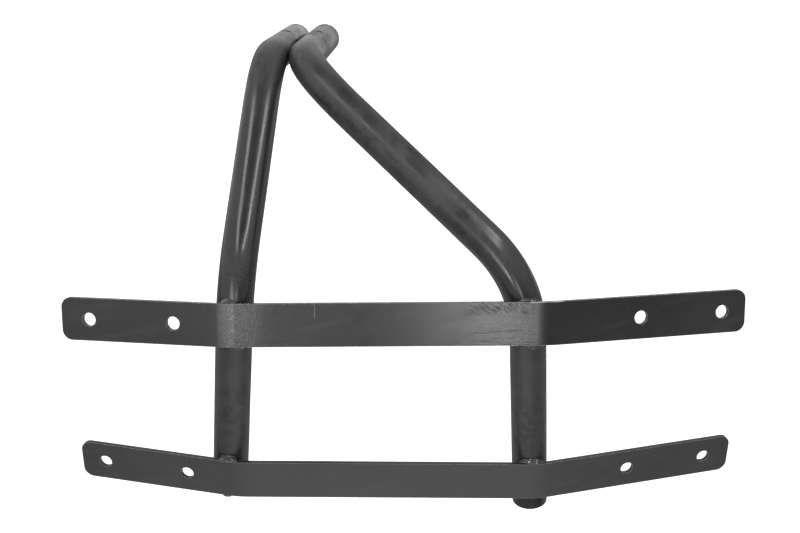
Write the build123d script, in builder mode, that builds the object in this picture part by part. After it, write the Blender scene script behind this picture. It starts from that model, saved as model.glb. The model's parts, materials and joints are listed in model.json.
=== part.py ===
from build123d import *
from math import cos, radians, sin, sqrt, tan
import os

# Front grille guard, welded from two bent round tubes and two flat straps.
# Units are millimetres, +Z is up and the vehicle is on the +Y side.
# The origin is the middle of the lower strap's back face, half way up the strap.
# The scale is an assumption: 50 mm bar on 42.4 mm tube is one of three stock pairs that fit.

os.makedirs("parts", exist_ok=True)

# Flat bar of both straps
strap_width = 50.0
strap_thickness = 5.0            # a usual stock thickness, not measured
fold_half_distance = 179.7       # from the centre line to either fold
fold_radius = 100.0              # judged from how softly the shading turns
left_wing_angle = 12.3           # how far the wings are folded back
right_wing_angle = 14.5
bolt_hole_diameter = 15.5        # fitted with the strap taken as 5 mm thick
corner_radius = 12.0

# Where the upper strap sits
upper_strap_centre = (-1.6, -2.1, 214.2)
upper_strap_tilt = 16.2          # leans back to lie on the tubes' knees
upper_strap_roll = 0.9           # its right end is a little higher

# Round tube, bent twice on one die
tube_diameter = 42.4
tube_wall = 3.2                  # usual for this tube, not seen
bend_radius = 119.6              # on the tube's centre line
tube_offset = tube_diameter / 2  # the lower runs touch the back of the lower strap

# Return legs: they lie side by side, run back and drop a little
leg_drop = 12.0
leg_sideways = 0.025             # sideways travel for each unit of length
leg_end_y = 566.0
leg_hole_diameter = 15.5
leg_hole_ys = (421.0, 541.0)

# Turning points of each tube's centre line, from its lower end to its shoulder
left_foot = (-192.6, tube_offset + 3.4, -28.0)   # touches the folded wing, so it sits a little back
left_knee = (-172.2, tube_offset, 250.5)
left_shoulder = (-148.8, 232.8, 443.1)
right_foot = (174.6, tube_offset + 0.4, -45.2)   # clears the start of the fold
right_knee = (154.0, tube_offset, 257.7)
right_shoulder = (-107.1, 199.5, 450.2)

# Fillet welds
weld_bulge = 0.8                 # how much its face swells
seam_radius = 4.6                # of the bead between the return legs
seam_length = 38.0
seam_y = 415.0


def leg_point(shoulder, y):
    """Point on a return leg's centre line."""
    run = y - shoulder[1]
    return Vector(shoulder[0] + run * leg_sideways, y, shoulder[2] - run * tan(radians(leg_drop)))


def make_strap(level, left_holes, left_length, right_holes, right_length):
    """Flat bar with both ends folded back. Hole and end distances run from the fold."""
    left = (-fold_half_distance, radians(180 - left_wing_angle), left_wing_angle)
    right = (fold_half_distance, radians(right_wing_angle), -right_wing_angle)

    def on_wing(wing, distance):
        return wing[0] + distance * cos(wing[1]), distance * sin(wing[1])

    with BuildPart() as strap:
        with BuildSketch(Plane(level).offset(-strap_width / 2)):
            with BuildLine():
                FilletPolyline(
                    on_wing(left, left_length), (left[0], 0), (right[0], 0), on_wing(right, right_length),
                    radius=fold_radius,
                )
                offset(amount=strap_thickness, side=Side.RIGHT)
            make_face()
        extrude(amount=strap_width)
        end_corners = strap.edges().filter_by(lambda edge: abs(edge.length - strap_thickness) < 0.01)
        fillet(end_corners, radius=corner_radius)
        for wing, distances in ((left, left_holes), (right, right_holes)):
            for distance in distances:
                across_wing = (Location((*on_wing(wing, distance), 0))
                               * Rotation(90, 0, 0) * Rotation(0, -wing[2], 0))
                with Locations(level * across_wing):
                    Cylinder(bolt_hole_diameter / 2, 4 * strap_thickness, mode=Mode.SUBTRACT)
    return strap.part


def bend_bar(path, radius):
    """Round bar along the straight runs and bends of a path."""
    with BuildPart() as bar:
        for edge in path.edges():
            with BuildSketch(Plane(origin=edge @ 0, z_dir=edge % 0)):
                Circle(radius)
            if edge.geom_type == GeomType.LINE:
                extrude(amount=edge.length)
            else:
                bend_axis = Axis(edge.arc_center, (edge % 0).cross(edge % 1))
                revolve(axis=bend_axis, revolution_arc=(edge % 0).get_angle(edge % 1))
    return bar.part


def make_tube(foot, knee, shoulder):
    """Tube bent at the knee and the shoulder, with its solid outer shape and its centre line."""
    with BuildLine() as centre_line:
        FilletPolyline(foot, knee, shoulder, leg_point(shoulder, leg_end_y), radius=bend_radius)
    outside = bend_bar(centre_line.line, tube_diameter / 2)
    inside = bend_bar(centre_line.line, tube_diameter / 2 - tube_wall)
    with BuildPart() as tube:
        add(outside)
        add(inside, mode=Mode.SUBTRACT)
        for y in leg_hole_ys:
            with Locations(Location(leg_point(shoulder, y)) * Rotation(-leg_drop, 0, 0)):
                Cylinder(leg_hole_diameter / 2, 2 * tube_diameter, mode=Mode.SUBTRACT)
    return tube.part, outside, centre_line.line


def crossing(path, plane):
    """Where a tube's centre line passes up through a plane, in the plane's own coordinates."""
    low, high = 0.0, 0.6
    for _ in range(40):
        middle = (low + high) / 2
        if plane.to_local_coords(path @ middle).Z < 0:
            low = middle
        else:
            high = middle
    return plane.to_local_coords(path @ low)


def make_weld(level, edge, path, first_angle, last_angle, leg):
    """Fillet weld in the corner between a strap's long edge and a tube.

    The edge is 1 for the strap's top and -1 for its bottom. Angles go round the tube
    from the line where it faces the strap. Where the tube stands off the strap, the
    weld also bridges the gap.
    """
    plane = Plane(level).offset(edge * strap_width / 2)
    centre = crossing(path, plane)
    middle = plane.from_local_coords(centre)
    outward = plane.z_dir * edge
    start = radians(first_angle)
    across = (plane.x_dir * sin(start)) - (plane.y_dir * cos(start))
    surface = tube_diameter / 2
    gap = centre.Y - surface
    toe = Vector(surface + gap + leg, 0)
    top = Vector(surface, leg + gap / 2)
    crown = (toe + top) / 2 + Vector(weld_bulge, weld_bulge)
    in_tube = top + (top - crown)    # the face runs on into the tube, which trims it
    with BuildPart() as weld:
        with BuildSketch(Plane(middle, x_dir=across, z_dir=across.cross(outward))):
            with BuildLine():
                Polyline(toe, crown, in_tube, (in_tube.X, 0), close=True)
            make_face()
        revolve(axis=Axis(middle, plane.z_dir), revolution_arc=last_angle - first_angle)
    return weld.part


lower_level = Location((0, 0, 0))
upper_level = (Location(upper_strap_centre)
               * Rotation(0, -upper_strap_roll, 0) * Rotation(-upper_strap_tilt, 0, 0))

solids = {}
solids["upper_strap"] = make_strap(upper_level, (61.4, 163.0), 196.8, (109.6, 211.4), 241.2)
solids["lower_strap"] = make_strap(lower_level, (61.6, 166.4), 196.4, (113.0, 214.7), 248.5)
solids["left_tube"], left_bar, left_path = make_tube(left_foot, left_knee, left_shoulder)
solids["right_tube"], right_bar, right_path = make_tube(right_foot, right_knee, right_shoulder)

# The welds run where the torch reached, so their start and end angles differ
left = (left_path, left_bar)
right = (right_path, right_bar)
welds = (
    ("upper_left_top_weld", upper_level, 1, left, -38, 8, 4.4),
    ("upper_left_bottom_weld", upper_level, -1, left, 6, 40, 1.8),
    ("upper_right_top_weld", upper_level, 1, right, -14, 44, 3.2),
    ("upper_right_bottom_weld", upper_level, -1, right, -12, 38, 2.8),
    ("lower_left_top_weld", lower_level, 1, left, -30, 20, 4.6),
    ("lower_left_bottom_weld", lower_level, -1, left, -14, 14, 3.2),
    ("lower_right_top_weld", lower_level, 1, right, -32, 36, 4.8),
    ("lower_right_bottom_weld", lower_level, -1, right, -50, 42, 2.2),
)
for name, level, edge, (path, bar), first_angle, last_angle, leg in welds:
    solids[name] = make_weld(level, edge, path, first_angle, last_angle, leg) - bar

# Bead in the valley between the return legs
valley_height = sqrt((tube_offset + seam_radius - 1) ** 2 - tube_offset**2)
valley = (leg_point(left_shoulder, seam_y) + leg_point(right_shoulder, seam_y)) / 2
upward = Vector(1, 0, 0).cross(left_path % 1)
with BuildPart() as leg_seam_weld:
    with Locations(Plane(valley + upward * valley_height, z_dir=left_path % 1)):
        Cylinder(seam_radius, seam_length)
    add(left_bar, mode=Mode.SUBTRACT)
    add(right_bar, mode=Mode.SUBTRACT)
solids["leg_seam_weld"] = leg_seam_weld.part

for name, solid in solids.items():
    solid.label = name
    export_step(solid, "parts/" + name + ".step")
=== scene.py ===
import json
import math
import random

import bmesh
import bpy
import numpy as np
from mathutils import Matrix, Vector, noise


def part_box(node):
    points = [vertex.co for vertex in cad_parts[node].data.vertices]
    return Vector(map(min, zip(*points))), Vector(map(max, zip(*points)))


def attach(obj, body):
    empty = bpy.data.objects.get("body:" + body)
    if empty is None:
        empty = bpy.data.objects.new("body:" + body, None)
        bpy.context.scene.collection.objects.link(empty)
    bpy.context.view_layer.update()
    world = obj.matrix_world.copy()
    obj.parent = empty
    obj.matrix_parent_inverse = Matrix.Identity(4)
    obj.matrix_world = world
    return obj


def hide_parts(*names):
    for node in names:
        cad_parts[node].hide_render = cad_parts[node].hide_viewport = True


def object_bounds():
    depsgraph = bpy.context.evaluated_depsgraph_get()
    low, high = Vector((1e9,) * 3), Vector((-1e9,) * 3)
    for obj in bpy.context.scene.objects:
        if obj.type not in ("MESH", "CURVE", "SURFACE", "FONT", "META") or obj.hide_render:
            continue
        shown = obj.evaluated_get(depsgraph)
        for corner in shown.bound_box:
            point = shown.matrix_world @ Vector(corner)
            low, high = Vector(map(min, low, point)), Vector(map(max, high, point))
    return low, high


# Looks of the front grille guard: bent tubes, folded straps and weld beads under dark paint.
# Units are metres, in the row frame: +X to the right, +Y back to the vehicle, +Z up.

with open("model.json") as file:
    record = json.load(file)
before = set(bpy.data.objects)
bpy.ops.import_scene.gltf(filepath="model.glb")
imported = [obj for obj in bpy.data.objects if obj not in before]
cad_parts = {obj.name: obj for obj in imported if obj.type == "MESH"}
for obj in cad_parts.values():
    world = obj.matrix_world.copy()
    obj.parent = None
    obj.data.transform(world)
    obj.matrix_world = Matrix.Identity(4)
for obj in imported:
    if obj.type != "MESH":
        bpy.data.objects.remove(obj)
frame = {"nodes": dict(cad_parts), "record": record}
bpy.context.view_layer.update()
mounts = {mount["name"]: mount for mount in frame["record"]["mounts"]}
chance = random.Random(7)

# Copies of the CAD meshes
SEAM_GAP = 1e-5           # points closer than this are one
FLAT_DEGREES = 0.6        # faces that turn by less than this are joined up
CRISP_DEGREES = 40        # edges sharper than this stay crisp in the shading

# Tube
TUBE_RADIUS = 0.0212
TUBE_WALL = 0.0032
TRACE_STEP = 0.003        # between the slices that find a tube's centre line
RING_STEP = 0.0025        # between the rings of the finished tube
RING_POINTS = 96
FEWEST_HITS = 8           # a slice with fewer points than this is past the tube's end
DRILL_POINTS = 64
TUBE_RIM = 0.0005         # rounding of the cut ends and drilled holes
TUBE_WAVES = 0.00012      # how far bending and drawing left the surface off true
TUBE_WAVE_LENGTH = 0.055
RIM_DEGREES = 50          # edges sharper than this are rounded

# Strap
STRAP_EDGE = 0.0007       # rounding left by rolling and painting

GLOSSY_BOTTOM = 0.14      # lower end of the tubes' glossy stretch
LEG_START = 0.22          # how far back the tubes' smooth return legs start
LEG_FADE = 0.06
GLOSS_FADE = 0.05         # height over which the gloss dulls at its top
BOTTOM_FADE = 0.04        # the same at its lower end
DRAWN_OUT = (1.0, 0.2, 1.0)       # draws blotches out along the return legs
LOW_PAINTED_SHADE = (0.10, 0.0)          # heights where the painted shade towards the lower strap starts and where it is full
# heights where the tubes' foot below the lower strap starts to get darker and less glossy, and where it is
# fully so
FOOT_DARKENING = (-0.022, -0.03)

# Marks on the upper strap: where, along and up it as shares of half its size, then half its
# length and height in metres
HAMMERED_EDGE = ((0.395, 0.9), (0.022, 0.02))
SCRATCH = ((-0.259, 0.62), (0.0006, 0.009))
TOP_SCUFF = ((0.27, 0.80), (0.055, 0.012))
LOW_SCUFF = ((0.26, -0.18), (0.07, 0.018))
WELD_HEAT = ((-0.475, 0.0), (0.032, 1.0))

# Weld bead
BEAD_GRID = 0.0004
BEAD_RIPPLE = 0.0007      # height of the crescents
BEAD_PITCH = 0.0022       # from one crescent to the next
BEAD_LUMPS = 0.0016
BEAD_LUMPS_PER_METRE = 260
BEAD_ENDS = 0.35          # height of a bead's ends, as a share of its middle
BEAD_TAPER = 0.7          # under 1, a bead keeps its height for longer
CRESCENT_BOW = 60         # how far the crescents bow, per metre out from the tube
CRESCENT_WANDER = 0.0008
CRESCENT_WANDER_PER_METRE = 150
BEAD_CRISP_DEGREES = 75


# ---------------------------------------------------------------- shapes

def add_piece(name, mesh, material, node):
    """Puts a finished mesh in the scene in place of its CAD node."""
    piece = bpy.data.objects.new(name, mesh)
    bpy.context.scene.collection.objects.link(piece)
    mesh.materials.clear()
    mesh.materials.append(material)
    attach(piece, "root")
    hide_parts(node)


def shade_smooth(mesh, sharp_degrees):
    """Smooth shading that keeps edges sharper than the given angle."""
    for face in mesh.polygons:
        face.use_smooth = True
    mesh.set_sharp_from_angle(angle=math.radians(sharp_degrees))


def bake(mesh, modifiers):
    """Applies modifiers to a mesh and returns the result. Each one is (kind, settings)."""
    holder = bpy.data.objects.new("bench", mesh)
    bpy.context.scene.collection.objects.link(holder)
    for kind, settings in modifiers:
        modifier = holder.modifiers.new(kind, kind)
        for key, value in settings.items():
            setattr(modifier, key, value)
    bpy.context.view_layer.update()
    graph = bpy.context.evaluated_depsgraph_get()
    result = bpy.data.meshes.new_from_object(holder.evaluated_get(graph))
    bpy.data.objects.remove(holder)
    return result


def cad_copy(node):
    """The CAD node's mesh with its seams closed and its flat faces joined up."""
    mesh = bpy.data.meshes.new(node + "_copy")
    work = bmesh.new()
    work.from_mesh(frame["nodes"][node].data)
    bmesh.ops.remove_doubles(work, verts=work.verts, dist=SEAM_GAP)
    bmesh.ops.dissolve_limit(work, angle_limit=math.radians(FLAT_DEGREES), verts=work.verts,
                             edges=work.edges)
    work.to_mesh(mesh)
    work.free()
    return mesh


def finish_strap(node, material):
    """Flat bar with its edges, corners and hole rims rounded. Its flat faces stay flat."""
    bar = cad_copy(node)
    shade_smooth(bar, CRISP_DEGREES)
    rounded = bake(bar, [
        ("BEVEL", {"width": STRAP_EDGE, "segments": 3, "limit_method": "ANGLE",
                   "angle_limit": math.radians(CRISP_DEGREES), "harden_normals": True}),
        ("WEIGHTED_NORMAL", {"keep_sharp": True, "weight": 90}),
    ])
    add_piece("finished_" + node, rounded, material, node)


def tube_edges(node):
    """Both ends of every edge of a CAD node, as two arrays of points."""
    mesh = frame["nodes"][node].data
    points = np.array([vertex.co for vertex in mesh.vertices])
    ends = np.array([edge.vertices for edge in mesh.edges])
    return points[ends[:, 0]], points[ends[:, 1]]


def slice_centre(starts, ends, guess, heading):
    """Centre of the circle where a plane across the heading cuts a tube's outside."""
    before = (starts - guess) @ heading
    after = (ends - guess) @ heading
    cut = before * after < 0
    share = (before[cut] / (before[cut] - after[cut]))[:, None]
    hits = starts[cut] + share * (ends[cut] - starts[cut]) - guess
    outside = hits[np.abs(np.linalg.norm(hits, axis=1) - TUBE_RADIUS) < TUBE_WALL / 2]
    if len(outside) < FEWEST_HITS:
        return None
    across = np.cross(heading, (1.0, 0.0, 0.0) if abs(heading[0]) < 0.7 else (0.0, 0.0, 1.0))
    across /= np.linalg.norm(across)
    beside = np.cross(heading, across)
    x, y = outside @ across, outside @ beside
    circle = np.stack([2 * x, 2 * y, np.ones_like(x)], axis=1)
    fit = np.linalg.lstsq(circle, x**2 + y**2, rcond=None)[0]
    return guess + fit[0] * across + fit[1] * beside


def follow_tube(node, seed, heading):
    """Centres along a CAD tube from a seed point to its end that way."""
    starts, ends = tube_edges(node)
    heading = np.array(heading)
    centre = slice_centre(starts, ends, np.array(seed), heading)
    centres = [centre]
    while True:
        found = slice_centre(starts, ends, centre + heading * TRACE_STEP, heading)
        if found is None:
            break
        heading = found - centre
        heading /= np.linalg.norm(heading)
        centre = found
        centres.append(centre)
    near = np.linalg.norm(starts - centre, axis=1) < 1.5 * TUBE_RADIUS
    last = centre + heading * np.max((starts[near] - centre) @ heading)
    return centres, last


def evened(points, passes):
    """Points along a line with the small kinks between them averaged out. Its ends stay put."""
    points = points.copy()
    for _ in range(passes):
        points[2:-2] = (points[1:-3] + points[2:-2] + points[3:-1]) / 3
    return points


def tube_centre_line(node, bolts):
    """Evenly spaced points along a CAD tube's centre line, from its lower end to the leg's end."""
    seed = mounts[bolts]["pos_m"]
    up = Vector(mounts[bolts]["axis"])
    back = Vector((1, 0, 0)).cross(up) * -1
    to_end, leg_end = follow_tube(node, seed, back)
    to_foot, foot = follow_tube(node, seed, -back)
    smooth = evened(np.array([foot] + to_foot[::-1] + to_end[1:] + [leg_end]), 4)
    lengths = np.concatenate([[0], np.cumsum(np.linalg.norm(np.diff(smooth, axis=0), axis=1))])
    stations = np.linspace(0, lengths[-1], int(lengths[-1] / RING_STEP))
    rings = np.stack([np.interp(stations, lengths, smooth[:, i]) for i in range(3)], axis=1)
    return [Vector(point) for point in evened(rings, 3)]


def sweep_tube(name, path):
    """Open tube round a centre line, slightly uneven as drawn and bent tube is.

    Its UV map is in metres: along the tube and round it.
    """
    work = bmesh.new()
    unrolled = work.loops.layers.uv.new("along_and_round")
    side = Vector((0, 1, 0))
    shells = {TUBE_RADIUS: [], TUBE_RADIUS - TUBE_WALL: []}
    for index, centre in enumerate(path):
        heading = (path[min(index + 1, len(path) - 1)] - path[max(index - 1, 0)]).normalized()
        side = (side - heading * side.dot(heading)).normalized()
        other = heading.cross(side)
        for radius, rings in shells.items():
            ring = []
            for step in range(RING_POINTS):
                angle = 2 * math.pi * step / RING_POINTS
                out = side * math.cos(angle) + other * math.sin(angle)
                wave = noise.noise((centre + out * radius) / TUBE_WAVE_LENGTH) * TUBE_WAVES
                ring.append(work.verts.new(centre + out * (radius + wave - TUBE_WAVES)))
            rings.append(ring)
    outer, inner = shells.values()

    def add_face(corners, places):
        face = work.faces.new(corners)
        for loop, (along, around) in zip(face.loops, places):
            loop[unrolled].uv = (along * RING_STEP, around * 2 * math.pi * TUBE_RADIUS / RING_POINTS)

    for rings, turn in ((outer, 1), (inner, -1)):
        for index, (lower, upper) in enumerate(zip(rings, rings[1:])):
            for step in range(RING_POINTS):
                after = (step + 1) % RING_POINTS
                corners = (lower[step], lower[after], upper[after], upper[step])
                places = ((index, step), (index, step + 1), (index + 1, step + 1), (index + 1, step))
                add_face(corners[::turn], places[::turn])
    for end, turn in ((0, -1), (-1, 1)):
        for step in range(RING_POINTS):
            after = (step + 1) % RING_POINTS
            corners = (outer[end][step], outer[end][after], inner[end][after], inner[end][step])
            places = ((0, step), (0, step + 1), (1, step + 1), (1, step))
            add_face(corners[::turn], places[::turn])
    mesh = bpy.data.meshes.new(name)
    work.to_mesh(mesh)
    work.free()
    return mesh


def drill(bolts):
    """Cylinders where a bolt pattern's holes go through."""
    mount = mounts[bolts]
    axis = Vector(mount["axis"])
    along = Vector((1, 0, 0)).cross(axis).normalized()
    radius = mount["dims"]["hole_r_mm"] / 1000
    work = bmesh.new()
    for end in (-1, 1):
        centre = Vector(mount["pos_m"]) + along * end * mount["dims"]["pcd_mm"] / 2000
        place = Matrix.Translation(centre) @ axis.to_track_quat("Z", "Y").to_matrix().to_4x4()
        bmesh.ops.create_cone(work, cap_ends=True, segments=DRILL_POINTS, radius1=radius,
                              radius2=radius, depth=4 * TUBE_RADIUS, matrix=place)
    mesh = bpy.data.meshes.new(bolts + "_drill")
    work.to_mesh(mesh)
    work.free()
    drill_bits = bpy.data.objects.new(bolts + "_drill", mesh)
    bpy.context.scene.collection.objects.link(drill_bits)
    return drill_bits


def finish_tube(node, bolts, material):
    """Bent tube with its bolt holes drilled and its rims rounded. Returns its centre line."""
    path = tube_centre_line(node, bolts)
    bits = drill(bolts)
    tube = bake(sweep_tube(node + "_sweep", path), [
        ("BOOLEAN", {"operation": "DIFFERENCE", "solver": "EXACT", "object": bits}),
        ("BEVEL", {"width": TUBE_RIM, "segments": 2, "limit_method": "ANGLE",
                   "angle_limit": math.radians(RIM_DEGREES)}),
    ])
    bpy.data.objects.remove(bits)
    shade_smooth(tube, CRISP_DEGREES)
    add_piece("finished_" + node, tube, material, node)
    return path


def strap_middle(node):
    """Middle of the strap that a node belongs to, by the first word of its name."""
    strap = "upper_strap" if node.startswith("upper") else "lower_strap"
    return sum(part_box(strap), Vector()) / 2


def finish_bead(node, path, material):
    """Weld bead: a lumpy mound with the crescents of its passes round the tube."""
    beaded = bake(cad_copy(node), [
        ("REMESH", {"mode": "VOXEL", "voxel_size": BEAD_GRID}),
        ("SMOOTH", {"factor": 0.5, "iterations": 5}),
    ])
    middle = sum(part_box(node), Vector()) / 2
    nearest = min(range(len(path)), key=lambda index: (path[index] - middle).length)
    centre = path[nearest]
    axis = (path[min(nearest + 1, len(path) - 1)] - path[max(nearest - 1, 0)]).normalized()
    outward = (middle - centre - axis * (middle - centre).dot(axis)).normalized()
    side = axis.cross(outward)
    shift = chance.uniform(0, 10)
    work = bmesh.new()
    work.from_mesh(beaded)
    work.normal_update()
    spans = [math.atan2((v.co - centre).dot(side), (v.co - centre).dot(outward)) for v in work.verts]
    first, last = min(spans), max(spans)
    seat = min if middle.z > strap_middle(node).z else max
    seat_height = seat(vertex.co.z for vertex in work.verts)
    for vertex, span in zip(work.verts, spans):
        share = (span - first) / (last - first)
        swell = math.sin(math.pi * min(max(share, 0.0), 1.0)) ** BEAD_TAPER
        mound = BEAD_ENDS + (1 - BEAD_ENDS) * swell
        offset = vertex.co - centre
        reach = (offset - axis * offset.dot(axis)).length - TUBE_RADIUS
        wander = noise.noise(vertex.co * CRESCENT_WANDER_PER_METRE) * CRESCENT_WANDER
        crescent = span * TUBE_RADIUS + CRESCENT_BOW * reach * reach + wander
        ripple = abs(math.sin(math.pi * crescent / BEAD_PITCH + shift)) * BEAD_RIPPLE
        lump = noise.noise(vertex.co * BEAD_LUMPS_PER_METRE + Vector((shift, 0, 0))) * BEAD_LUMPS
        vertex.co += vertex.normal * (ripple + lump - BEAD_RIPPLE)
        vertex.co.z = seat_height + (vertex.co.z - seat_height) * mound
    work.to_mesh(beaded)
    work.free()
    shade_smooth(beaded, BEAD_CRISP_DEGREES)
    add_piece("finished_" + node, beaded, material, node)


# ---------------------------------------------------------------- shader groups

def feed(tree, socket, value):
    """Gives an input socket a plain value, or links it from another socket."""
    if isinstance(value, bpy.types.NodeSocket):
        tree.links.new(value, socket)
    else:
        socket.default_value = value


def put(tree, kind, inputs=None, **settings):
    """Adds a node. Inputs are plain values or sockets to link from."""
    node = tree.nodes.new(kind)
    for key, value in settings.items():
        setattr(node, key, value)
    for socket, value in (inputs or {}).items():
        feed(tree, node.inputs[socket], value)
    return node


def calculate(tree, operation, first, second=0.0):
    """Output of a math node."""
    return put(tree, "ShaderNodeMath", {0: first, 1: second}, operation=operation).outputs[0]


def combine(tree, operation, first, second):
    """Vector output of a vector math node."""
    return put(tree, "ShaderNodeVectorMath", {0: first, 1: second}, operation=operation).outputs[0]


def texture(tree, place, per_metre, detail, roughness):
    """Output of a noise texture."""
    return put(tree, "ShaderNodeTexNoise", {"Vector": place, "Scale": per_metre, "Detail": detail,
                                            "Roughness": roughness}).outputs["Fac"]


def ramp(tree, value, low, high, start=0.0, end=1.0):
    """Value eased from start to end between low and high."""
    node = put(tree, "ShaderNodeMapRange", {"Value": value, "From Min": low, "From Max": high,
                                            "To Min": start, "To Max": end},
               interpolation_type="SMOOTHSTEP")
    return node.outputs["Result"]


def make_group(name, inputs, output):
    """Empty shader group. Inputs map a name to a default: a number or a triple."""
    tree = bpy.data.node_groups.new(name, "ShaderNodeTree")
    for label, default in inputs.items():
        kind = "NodeSocketVector" if isinstance(default, tuple) else "NodeSocketFloat"
        socket = tree.interface.new_socket(label, in_out="INPUT", socket_type=kind)
        socket.default_value = default
    tree.interface.new_socket(output, in_out="OUTPUT", socket_type="NodeSocketFloat")
    return tree, tree.nodes.new("NodeGroupInput").outputs, tree.nodes.new("NodeGroupOutput").inputs[0]


def make_blotches():
    """Cloudy patches of a given size."""
    tree, given, result = make_group(
        "Blotches", {"Coordinates": (0.0, 0.0, 0.0), "Per Metre": 20.0, "Low": 0.4, "High": 0.6,
                     "Offset": (0.0, 0.0, 0.0)}, "Mask")
    place = combine(tree, "ADD", given["Coordinates"], given["Offset"])
    cloud = texture(tree, place, given["Per Metre"], 6.0, 0.6)
    tree.links.new(ramp(tree, cloud, given["Low"], given["High"]), result)
    return tree


def make_strokes():
    """Long thin marks in one direction: rolling, wiping and grinding lines."""
    tree, given, result = make_group(
        "Strokes", {"Coordinates": (0.0, 0.0, 0.0), "Turn": (0.0, 0.0, 0.0),
                    "Stretch": (20.0, 1000.0, 1000.0), "Low": 0.55, "High": 0.7}, "Mask")
    turned = put(tree, "ShaderNodeVectorRotate", {"Vector": given["Coordinates"], "Rotation": given["Turn"]},
                 rotation_type="EULER_XYZ")
    place = combine(tree, "MULTIPLY", turned.outputs[0], given["Stretch"])
    lines = texture(tree, place, 1.0, 3.0, 0.55)
    tree.links.new(ramp(tree, lines, given["Low"], given["High"]), result)
    return tree


def make_worn_edges():
    """Paint rubbed thin on outer corners, broken up by the grain of the wear."""
    tree, given, result = make_group(
        "Worn Edges", {"Coordinates": (0.0, 0.0, 0.0), "Radius": 0.001, "Amount": 0.5, "Per Metre": 300.0},
        "Mask")
    rounded = put(tree, "ShaderNodeBevel", {"Radius": given["Radius"]}, samples=4)
    true = put(tree, "ShaderNodeNewGeometry")
    match = put(tree, "ShaderNodeVectorMath", {0: rounded.outputs[0], 1: true.outputs["Normal"]},
                operation="DOT_PRODUCT")
    edge = ramp(tree, match.outputs["Value"], 0.995, 0.90)
    grain = texture(tree, given["Coordinates"], given["Per Metre"], 5.0, 0.7)
    broken = ramp(tree, grain, calculate(tree, "SUBTRACT", 0.75, given["Amount"]),
                  calculate(tree, "SUBTRACT", 0.95, given["Amount"]))
    tree.links.new(calculate(tree, "MULTIPLY", edge, broken), result)
    return tree


def make_specks():
    """Scattered small spots: dust nibs, chips and spatter marks."""
    tree, given, result = make_group(
        "Specks", {"Coordinates": (0.0, 0.0, 0.0), "Per Metre": 200.0, "Size": 0.15, "Share": 0.2}, "Mask")
    cells = put(tree, "ShaderNodeTexVoronoi", {"Vector": given["Coordinates"], "Scale": given["Per Metre"]},
                feature="F1")
    pick = put(tree, "ShaderNodeSeparateColor", {0: cells.outputs["Color"]})
    chosen = calculate(tree, "LESS_THAN", pick.outputs[0], given["Share"])
    size = calculate(tree, "MULTIPLY", given["Size"], pick.outputs[1])
    spot = ramp(tree, cells.outputs["Distance"], size, calculate(tree, "MULTIPLY", size, 0.5))
    tree.links.new(calculate(tree, "MULTIPLY", chosen, spot), result)
    return tree


def make_zone():
    """A soft-edged box that keeps a feature to one place."""
    tree, given, result = make_group(
        "Zone", {"Coordinates": (0.0, 0.0, 0.0), "Middle": (0.0, 0.0, 0.0), "Half Size": (0.1, 0.1, 0.1),
                 "Softness": 0.3}, "Mask")
    offset = combine(tree, "SUBTRACT", given["Coordinates"], given["Middle"])
    share = combine(tree, "DIVIDE", offset, given["Half Size"])
    parts = put(tree, "ShaderNodeSeparateXYZ", {0: share})
    inner = calculate(tree, "SUBTRACT", 1.0, given["Softness"])
    inside = 1.0
    for part in parts.outputs:
        side = ramp(tree, calculate(tree, "ABSOLUTE", part), 1.0, inner)
        inside = calculate(tree, "MULTIPLY", side, inside)
    tree.links.new(inside, result)
    return tree


def make_paint_grain():
    """Height of sprayed paint: fine orange peel over slow waves."""
    tree, given, result = make_group(
        "Paint Grain", {"Coordinates": (0.0, 0.0, 0.0), "Peel Per Metre": 900.0, "Peel": 0.5, "Wave": 0.5},
        "Height")
    peel = texture(tree, given["Coordinates"], given["Peel Per Metre"], 2.0, 0.5)
    wave = texture(tree, given["Coordinates"], 45.0, 3.0, 0.55)
    total = calculate(tree, "ADD", calculate(tree, "MULTIPLY", peel, given["Peel"]),
                      calculate(tree, "MULTIPLY", wave, given["Wave"]))
    tree.links.new(total, result)
    return tree


blotches = make_blotches()
strokes = make_strokes()
worn_edges = make_worn_edges()
specks = make_specks()
zone = make_zone()
paint_grain = make_paint_grain()


def use(tree, group, coordinates, **inputs):
    """Output of a shader group. Input names are written with underscores."""
    node = put(tree, "ShaderNodeGroup", node_tree=group)
    tree.links.new(coordinates, node.inputs["Coordinates"])
    for label, value in inputs.items():
        feed(tree, node.inputs[label.replace("_", " ").title()], value)
    return node.outputs[0]


def mix_colour(tree, share, first, second):
    """Colour between two others."""
    node = put(tree, "ShaderNodeMix", data_type="RGBA")
    for socket, value in (("Factor_Float", share), ("A_Color", first), ("B_Color", second)):
        feed(tree, next(found for found in node.inputs if found.identifier == socket), value)
    return next(output for output in node.outputs if output.identifier == "Result_Color")


def tint(tree, base, *layers):
    """Base colour with each (mask, share, colour) laid over it in turn."""
    for mask, share, colour in layers:
        base = mix_colour(tree, calculate(tree, "MULTIPLY", mask, share), base, colour)
    return base


def grey(level, warmth=0.0):
    """Near-neutral paint colour."""
    return (level * (1 + warmth), level, level * (1 - warmth), 1.0)


# ---------------------------------------------------------------- materials

def start_material(name):
    """Material with an empty principled shader and the row frame's coordinates."""
    material = bpy.data.materials.new(name)
    material.use_nodes = True
    tree = material.node_tree
    shader = tree.nodes["Principled BSDF"]
    place = put(tree, "ShaderNodeTexCoord").outputs["Object"]
    return material, tree, shader, place


def add_bumps(tree, shader, heights):
    """Chains bump nodes. Each height is (socket, strength, distance)."""
    normal = None
    for height, strength, distance in heights:
        bump = put(tree, "ShaderNodeBump", {"Height": height, "Strength": strength, "Distance": distance})
        if normal:
            tree.links.new(normal, bump.inputs["Normal"])
        normal = bump.outputs[0]
    tree.links.new(normal, shader.inputs["Normal"])


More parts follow.
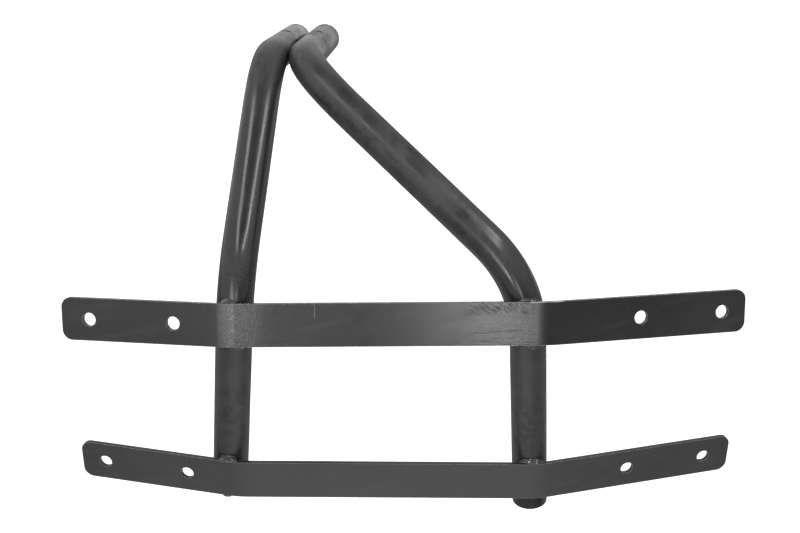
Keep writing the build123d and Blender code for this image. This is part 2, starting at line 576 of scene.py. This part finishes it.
def weigh(tree, start, *parts):
    """Start value plus each (socket, weight) part."""
    total = start
    for socket, weight in parts:
        total = calculate(tree, "ADD", calculate(tree, "MULTIPLY", socket, weight), total)
    return total


def strap_spot(node, along, up):
    """Point on a strap, as shares of half its length and half its height from the middle."""
    low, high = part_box(node)
    middle = (low + high) / 2
    half = (high - low) / 2
    return (middle.x + along * half.x, 0.0, middle.z + up * half.z)


def make_strap_paint(node, sheen, heat_marks=(), scratched=0.0):
    """Dark paint over rolled bar: rubbed edges, wiping marks, scuffs and pits beside the welds.

    The sheen is the roughness of clean paint. Heat marks are where welding pitted it. Scratched, from
    0 to 1, is how much of the upper strap's wear it has.
    """
    material, tree, shader, place = start_material(node + "_paint")

    def spot(mark, softness=0.3):
        (along, up), (half_length, half_height) = mark
        return use(tree, zone, place, middle=strap_spot(node, along, up),
                   half_size=(half_length, 1.0, half_height), softness=softness)

    cloud = use(tree, blotches, place, per_metre=9.0, low=0.35, high=0.7)
    mottle = use(tree, blotches, place, per_metre=150.0, low=0.35, high=0.7)
    wiping = use(tree, strokes, place, stretch=(10.0, 500.0, 500.0), low=0.5, high=0.75)
    edge = use(tree, worn_edges, place, radius=0.0012, amount=0.44, per_metre=200.0)
    hammered = weigh(tree, 0.25, (spot(HAMMERED_EDGE), 0.2 * scratched))
    chips = use(tree, worn_edges, place, radius=0.0016, amount=hammered, per_metre=420.0)
    smears = use(tree, strokes, place, turn=(0.0, math.radians(12), 0.0), stretch=(14.0, 20.0, 70.0),
                 low=0.5, high=0.7)
    nibs = use(tree, specks, place, per_metre=160.0, size=0.2, share=0.06)
    pits = 0.0
    for mark in heat_marks:
        frosting = use(tree, blotches, place, per_metre=420.0, low=0.44, high=0.62)
        pits = weigh(tree, pits, (calculate(tree, "MULTIPLY", spot(mark, 0.6), frosting), 1.0))
    diagonal = use(tree, strokes, place, turn=(0.0, math.radians(-42), 0.0),
                   stretch=(110.0, 60.0, 820.0), low=0.48, high=0.60)
    level = use(tree, strokes, place, stretch=(42.0, 60.0, 1400.0), low=0.56, high=0.66)
    scuffs = weigh(tree, 0.0, (calculate(tree, "MULTIPLY", diagonal, spot(TOP_SCUFF, 0.6)), scratched),
                   (calculate(tree, "MULTIPLY", level, spot(LOW_SCUFF, 0.7)), scratched))
    base = tint(tree, mix_colour(tree, cloud, grey(0.015), grey(0.022, 0.02)),
                (smears, 0.45, grey(0.03, 0.01)),
                (pits, 0.3, grey(0.06, 0.01)),
                (edge, 0.6, grey(0.25, 0.01)),
                (chips, 0.3 + 0.7 * scratched, grey(0.75)),
                (spot(SCRATCH), 0.7 * scratched, grey(0.14)),
                (nibs, 0.5, grey(0.12)),
                (scuffs, 0.15, grey(0.008)))
    tree.links.new(base, shader.inputs["Base Color"])
    rough = weigh(tree, sheen, (mottle, 0.03), (wiping, 0.04), (cloud, 0.03), (smears, 0.04),
                  (pits, 0.06), (scuffs, 0.08))
    tree.links.new(rough, shader.inputs["Roughness"])
    tree.links.new(weigh(tree, 0.5, (scuffs, -0.17)), shader.inputs["Specular IOR Level"])
    grain = use(tree, paint_grain, place, peel_per_metre=700.0, peel=0.5, wave=0.8)
    add_bumps(tree, shader, [(grain, 0.22, 0.0004), (wiping, 0.06, 0.0001), (nibs, 0.4, 0.0002),
                             (pits, 0.15, 0.0002), (scuffs, -0.3, 0.0001)])
    return material


def make_tube_paint(node, glossy_top, sheen):
    """Dark paint over drawn tube: drawing lines along it and smudges.

    It is glossy from the upper strap up to a given height. Elsewhere it is dulled by overspray.
    The sheen is the roughness of clean paint.
    """
    material, tree, shader, place = start_material(node + "_paint")
    along = put(tree, "ShaderNodeUVMap", uv_map="along_and_round").outputs[0]
    drawn_out = combine(tree, "MULTIPLY", place, DRAWN_OUT)
    cloud = use(tree, blotches, drawn_out, per_metre=16.0, low=0.35, high=0.7)
    smudge = use(tree, blotches, drawn_out, per_metre=42.0, low=0.45, high=0.65, offset=(3.0, 1.0, 2.0))
    drawn = use(tree, strokes, along, stretch=(9.0, 420.0, 1.0), low=0.40, high=0.70)
    streaks = use(tree, strokes, along, stretch=(26.0, 1100.0, 1.0), low=0.60, high=0.72)
    nibs = use(tree, specks, place, per_metre=150.0, size=0.18, share=0.05)
    edge = use(tree, worn_edges, place, radius=0.001, amount=0.4, per_metre=380.0)
    _, depth, height = put(tree, "ShaderNodeSeparateXYZ", {0: place}).outputs
    waviness = ramp(tree, depth, LEG_START, LEG_START + LEG_FADE, 1.0, 0.15)
    dull = weigh(tree, 0.0, (ramp(tree, height, glossy_top, glossy_top + GLOSS_FADE), 1.0),
                 (ramp(tree, height, GLOSSY_BOTTOM + BOTTOM_FADE, GLOSSY_BOTTOM), 0.6))
    # darker and less glossy at the very foot of the tubes, below the lower strap
    darker_foot = ramp(tree, height, *FOOT_DARKENING)
    # painted shade: the tubes get darker and less glossy down towards the lower strap
    low_painted_shade = ramp(tree, height, *LOW_PAINTED_SHADE)
    patches = use(tree, blotches, drawn_out, per_metre=24.0, low=0.42, high=0.62, offset=(1.0, 5.0, 2.0))
    overspray = calculate(tree, "MULTIPLY", dull, patches)
    speckle = use(tree, blotches, place, per_metre=330.0, low=0.45, high=0.68)
    upper_run = ramp(tree, height, GLOSSY_BOTTOM + 0.03, GLOSSY_BOTTOM + 0.08)
    mottling = calculate(tree, "MULTIPLY", calculate(tree, "MULTIPLY", speckle, patches), upper_run)
    thin_band = use(tree, strokes, along, stretch=(12.0, 50.0, 1.0), low=0.46, high=0.60)
    ragged = use(tree, blotches, place, per_metre=110.0, low=0.38, high=0.62)
    thin_coat = calculate(tree, "MULTIPLY", calculate(tree, "MULTIPLY", thin_band, ragged), dull)
    base = mix_colour(tree, cloud, grey(0.014), grey(0.021, 0.01))
    base = mix_colour(tree, overspray, base, grey(0.026))
    # the painted shade towards the lower strap and the darker foot are laid into the base colour here
    base = tint(tree, base, (mottling, 0.7, grey(0.034, 0.01)), (edge, 0.5, grey(0.2, 0.01)),
                (nibs, 0.4, grey(0.12)), (low_painted_shade, 0.3, grey(0.008)), (darker_foot, 0.7, grey(0.008)))
    tree.links.new(base, shader.inputs["Base Color"])
    specular = weigh(tree, 0.5, (darker_foot, -0.14), (low_painted_shade, -0.14), (thin_coat, -0.3))
    tree.links.new(specular, shader.inputs["Specular IOR Level"])
    rough = weigh(tree, sheen, (cloud, 0.04), (smudge, 0.05), (drawn, 0.05), (streaks, 0.05), (dull, 0.16),
                  (overspray, 0.14), (mottling, 0.10))
    tree.links.new(rough, shader.inputs["Roughness"])
    grain = use(tree, paint_grain, drawn_out, peel_per_metre=600.0, peel=0.2, wave=waviness)
    add_bumps(tree, shader, [(grain, 0.18, 0.0004), (drawn, 0.12, 0.0001), (nibs, 0.4, 0.0002)])
    return material


def make_weld_paint(name, brightness):
    """Paint over weld beads: glossy, rubbed on the crests and spotted with painted glints, pale specks in
    the base colour that stand in for highlights, at a given brightness.
    """
    material, tree, shader, place = start_material(name)
    cloud = use(tree, blotches, place, per_metre=260.0, low=0.35, high=0.65)
    edge = use(tree, worn_edges, place, radius=0.0008, amount=0.5, per_metre=700.0)
    # painted glints: pale specks in the base colour that stand in for highlights on the beads
    painted_glints = use(tree, specks, place, per_metre=420.0, size=0.7, share=0.3)
    base = tint(tree, mix_colour(tree, cloud, grey(0.010), grey(0.05, 0.03)),
                (edge, 0.6, grey(0.3, 0.03)), (painted_glints, brightness, grey(0.6, 0.02)))
    tree.links.new(base, shader.inputs["Base Color"])
    tree.links.new(ramp(tree, cloud, 0.0, 1.0, 0.10, 0.26), shader.inputs["Roughness"])
    grain = use(tree, paint_grain, place, peel_per_metre=1300.0, peel=1.0, wave=0.3)
    add_bumps(tree, shader, [(grain, 0.9, 0.0009)])
    return material


upper_strap_paint = make_strap_paint("upper_strap", 0.12, (WELD_HEAT,), scratched=1.0)
lower_strap_paint = make_strap_paint("lower_strap", 0.24)
left_tube_paint = make_tube_paint("left_tube", 0.39, 0.16)
right_tube_paint = make_tube_paint("right_tube", 0.27, 0.12)
strap_weld_paint = make_weld_paint("strap_weld_paint", 0.8)
seam_weld_paint = make_weld_paint("seam_weld_paint", 0.05)


# ---------------------------------------------------------------- pieces

finish_strap("upper_strap", upper_strap_paint)
finish_strap("lower_strap", lower_strap_paint)
left_path = finish_tube("left_tube", "left_leg_bolts", left_tube_paint)
right_path = finish_tube("right_tube", "right_leg_bolts", right_tube_paint)
for node in sorted(frame["nodes"]):
    if node == "leg_seam_weld":
        finish_bead(node, left_path, seam_weld_paint)
    elif node.endswith("_weld"):
        finish_bead(node, right_path if "right" in node else left_path, strap_weld_paint)


# ---------------------------------------------------------------- studio

FLOOR_DROP = 0.45         # the guard is held up clear of the floor
FLOOR_SIZE = 30.0
FLOOR_POOL = (0.0, -0.7, 0.0)     # where the floor throws most light back at the guard
FAR_FLOOR = 0.38          # brightness of the floor well behind the guard, which the return legs mirror
FLOOR_GLOW = 0.7          # keeps the floor white right to the horizon
STRIP_HEIGHT = 1.15       # of the two strip lights over the guard
STRIP_SIDE = 0.48         # how far each one is to the side
STRIP_FORWARD = 0.2
STRIP_SIZE = (1.0, 0.15)
STRIPS = ((-1, 6.0), (1, 9.0))    # side and brightness
FRONT_DISTANCE = 3.0      # of the soft boxes in front

# Left, right, bottom and top of each soft box in front, in metres, then its brightness. The straps
# mirror them, so a step between two boxes is a step of tone along the straps.
FRONT_BOXES = (
    (-1.66, -1.34, 0.6, 1.4, 9.0),
    (-1.0, -0.80, 0.3, 1.0, 6.5),
    (-1.80, -0.76, 0.15, 0.55, 2.8),
    (-0.78, -0.60, 0.22, 0.85, 6.0),
    (0.03, 0.20, 0.22, 0.85, 1.6),
    (0.20, 0.36, 0.22, 0.85, 4.8),
    (0.36, 0.43, 0.22, 0.85, 11.0),
    (0.43, 0.46, 0.22, 0.85, 4.0),
    (0.46, 0.80, 0.22, 0.85, 1.2),
)

BACKDROP_STRENGTH = 1.1
CAMERA_PLACE = (0.0, -1.1634, 0.87999)
CAMERA_PITCH = 0.472747   # downwards, in radians
CAMERA_YAW = 0.0098129    # to the right
CAMERA_ROLL = -0.0121185
CAMERA_LENS = 54.0        # millimetres, on a sensor this wide:
CAMERA_SENSOR = 36.0


def add_panel(name, place, width, height, brightness):
    """Soft box that faces the guard from a given place. Its width is level, in metres."""
    panel = bpy.data.lights.new(name, "AREA")
    panel.shape = "RECTANGLE"
    panel.size = width
    panel.size_y = height
    panel.energy = brightness * math.pi * width * height
    holder = bpy.data.objects.new(name, panel)
    bpy.context.scene.collection.objects.link(holder)
    holder.location = place
    towards = Vector(place) - strap_middle("upper_strap")
    holder.rotation_euler = towards.to_track_quat("Z", "Y").to_euler()
    holder.visible_camera = False


def make_floor():
    """Pale studio floor, far enough down to stay free of shadow."""
    low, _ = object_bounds()
    work = bmesh.new()
    bmesh.ops.create_grid(work, x_segments=2, y_segments=2, size=FLOOR_SIZE / 2)
    mesh = bpy.data.meshes.new("studio_floor")
    work.to_mesh(mesh)
    work.free()
    floor = bpy.data.objects.new("studio_floor", mesh)
    bpy.context.scene.collection.objects.link(floor)
    floor.location = (0, 0, low.z - FLOOR_DROP)
    material = bpy.data.materials.new("studio_floor")
    material.use_nodes = True
    tree = material.node_tree
    shader = tree.nodes["Principled BSDF"]
    shader.inputs["Roughness"].default_value = 0.9
    shader.inputs["Emission Strength"].default_value = FLOOR_GLOW
    seen = put(tree, "ShaderNodeLightPath").outputs["Is Camera Ray"]
    place = put(tree, "ShaderNodeTexCoord").outputs["Object"]
    offset = combine(tree, "SUBTRACT", place, FLOOR_POOL)
    distance = put(tree, "ShaderNodeVectorMath", {0: offset}, operation="LENGTH").outputs["Value"]
    behind = put(tree, "ShaderNodeSeparateXYZ", {0: place}).outputs[1]
    pool = calculate(tree, "MULTIPLY", ramp(tree, distance, 0.1, 1.0, 0.85, 0.4),
                     ramp(tree, behind, 0.1, 0.8, 1.0, 0.55))
    pool = calculate(tree, "ADD", pool, ramp(tree, behind, 3.0, 4.5, 0.0, FAR_FLOOR))
    for socket, shown in (("Base Color", 0.85), ("Emission Color", 1.0)):
        colour = mix_colour(tree, seen, mix_colour(tree, pool, grey(0.0), grey(1.0)), grey(shown))
        tree.links.new(colour, shader.inputs[socket])
    mesh.materials.append(material)


def make_world():
    """White behind the guard, and a room that is brighter on the left than on the right."""
    world = bpy.data.worlds.new("studio")
    bpy.context.scene.world = world
    world.use_nodes = True
    tree = world.node_tree
    tree.nodes.clear()
    towards = put(tree, "ShaderNodeSeparateXYZ", {0: put(tree, "ShaderNodeTexCoord").outputs["Generated"]})
    rightward, backward, upward = towards.outputs
    right_dusk = calculate(tree, "MULTIPLY", ramp(tree, rightward, 0.0, 0.4, 0.0, 0.75),
                           ramp(tree, upward, 0.5, 0.1))
    right_dusk = calculate(tree, "MULTIPLY", right_dusk, ramp(tree, rightward, 0.5, 0.85, 1.0, 0.7))
    room = calculate(tree, "SUBTRACT", 1.0, right_dusk)
    for dimming in (ramp(tree, backward, -0.1, 0.5, 1.0, 0.85), ramp(tree, upward, 0.70, 0.92, 1.0, 0.35)):
        room = calculate(tree, "MULTIPLY", room, dimming)
    seen = put(tree, "ShaderNodeLightPath").outputs["Is Camera Ray"]
    strength = put(tree, "ShaderNodeMix", {0: seen, 2: room, 3: BACKDROP_STRENGTH}).outputs[0]
    backdrop = put(tree, "ShaderNodeBackground", {"Color": (1, 1, 1, 1), "Strength": strength})
    put(tree, "ShaderNodeOutputWorld", {"Surface": backdrop.outputs[0]})


def make_camera():
    """Camera in front of the guard, a little above it."""
    data = bpy.data.cameras.new("camera")
    data.lens = CAMERA_LENS
    data.sensor_width = CAMERA_SENSOR
    camera = bpy.data.objects.new("camera", data)
    bpy.context.scene.collection.objects.link(camera)
    flat = math.cos(CAMERA_PITCH)
    forward = Vector((math.sin(CAMERA_YAW) * flat, math.cos(CAMERA_YAW) * flat, -math.sin(CAMERA_PITCH)))
    level = Vector((math.cos(CAMERA_YAW), -math.sin(CAMERA_YAW), 0))
    down = forward.cross(level)
    right = math.cos(CAMERA_ROLL) * level + math.sin(CAMERA_ROLL) * down
    up = math.sin(CAMERA_ROLL) * level - math.cos(CAMERA_ROLL) * down
    turn = Matrix((right, up, -forward)).transposed().to_4x4()
    camera.matrix_world = Matrix.Translation(CAMERA_PLACE) @ turn
    bpy.context.scene.camera = camera


make_floor()
make_world()
make_camera()
for side, brightness in STRIPS:
    add_panel("overhead_strip", (side * STRIP_SIDE, -STRIP_FORWARD, STRIP_HEIGHT), *STRIP_SIZE, brightness)
for left, right, low, high, brightness in FRONT_BOXES:
    add_panel("front_box", ((left + right) / 2, -FRONT_DISTANCE, (low + high) / 2), right - left,
              high - low, brightness)
bpy.context.scene.view_settings.view_transform = "Standard"

bpy.context.view_layer.update()
